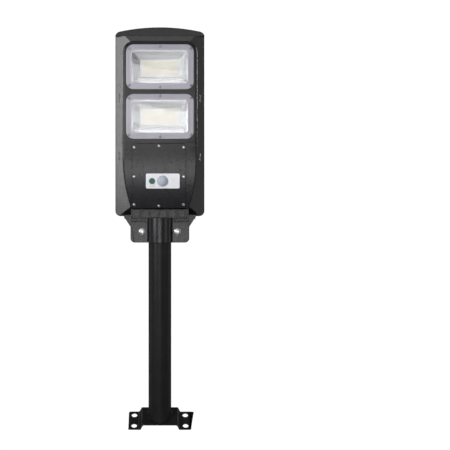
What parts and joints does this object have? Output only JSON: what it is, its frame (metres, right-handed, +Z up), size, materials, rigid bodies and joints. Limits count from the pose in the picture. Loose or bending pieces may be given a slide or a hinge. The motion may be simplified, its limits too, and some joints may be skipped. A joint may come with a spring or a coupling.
{
  "type": "solar street lamp",
  "caption": "All-in-one solar street lamp: plastic head with two LED windows and a rear solar panel, clamped to a tube arm with a wall bracket.",
  "frame": {"origin": "where the arm's axis meets the wall plane, at the bracket's back", "axes": "+Z up along the arm, -Y the way the LED windows face, +Y the way the solar panel faces, +X to the right seen from the light side"},
  "size_m": [0.19, 0.0594, 0.8507],
  "materials": {
    "black_abs": "moulded black ABS, fine satin grain",
    "black_steel": "black powder coat",
    "zinc_steel": "bright zinc-plated steel",
    "dull_steel": "dark nickel plate",
    "clear_cover": "clear polycarbonate, moulded",
    "mirror_tray": "vacuum-metallised plastic",
    "led_board_white": "white solder mask on aluminium",
    "led_phosphor": "pale yellow phosphor",
    "panel_glass": "clear laminate",
    "cell_blue": "blue polycrystalline silicon",
    "ribbon": "tinned copper ribbon",
    "sheet_white": "white laminate",
    "rubber_black": "silicone rubber",
    "rubber_grey": "grey silicone rubber",
    "label_white": "printed film, plain white",
    "dome_white": "milky polyethylene",
    "button_green": "green silicone rubber",
    "circuit_green": "green solder mask",
    "dark_parts": "black component bodies",
    "sensor_can": "plated can",
    "cell_wrap": "blue heat-shrink wrap",
    "nickel": "nickel strip",
    "wire_red": "wire insulation",
    "plug_ivory": "nylon"
  },
  "bodies": {
    "arm": {"wall_bracket": "black_steel", "pole": "black_steel", "weld_bead": "black_steel"},
    "head": {"housing": "black_abs", "clamp_front": "black_abs", "clamp_bolts": "zinc_steel", "clamp_nuts": "zinc_steel", "clamp_washers": "zinc_steel", "sleeve_screws": "zinc_steel", "panel_seal": "rubber_black", "panel_backsheet": "sheet_white", "solar_cells": "cell_blue", "cell_ribbons": "ribbon", "panel_glass": "panel_glass", "panel_terminals": "dark_parts", "corner_retainers": "black_abs", "retainer_screws": "zinc_steel", "lens_upper": "clear_cover", "lens_lower": "clear_cover", "lens_gasket_upper": "rubber_grey", "lens_gasket_lower": "rubber_grey", "lens_screws": "dull_steel", "reflector_upper": "mirror_tray", "reflector_lower": "mirror_tray", "led_board_upper": "led_board_white", "led_board_lower": "led_board_white", "leds_upper": "led_phosphor", "leds_lower": "led_phosphor", "led_board_screws": "zinc_steel", "battery_cover": "black_abs", "cover_gasket": "rubber_black", "cover_screws": "zinc_steel", "sensor_label": "label_white", "pir_lens": "dome_white", "pir_sensor": "sensor_can", "control_board": "circuit_green", "board_components": "dark_parts", "board_screws": "zinc_steel", "button_switch": "dark_parts", "battery_cells": "cell_wrap", "battery_tray": "dark_parts", "cell_strips": "nickel", "protection_board": "circuit_green", "battery_leads": "wire_red", "panel_leads": "wire_red", "led_leads_upper": "wire_red", "led_leads_lower": "wire_red", "lead_plugs": "plug_ivory"},
    "power_button": {"power_button": "button_green"}
  },
  "joints": [
    {"name": "head_swivel", "type": "hinge", "parent": "arm", "child": "head", "pos_m": [0, 0, 0.403], "axis": [0, 0, 1], "continuous": true},
    {"name": "button_press", "type": "slide", "parent": "head", "child": "power_button", "axis": [0, 0.9934, 0.115], "range_m": [0, 0.0008], "stiffness_N_per_m": 1200, "springref_m": -0.0004}
  ]
}
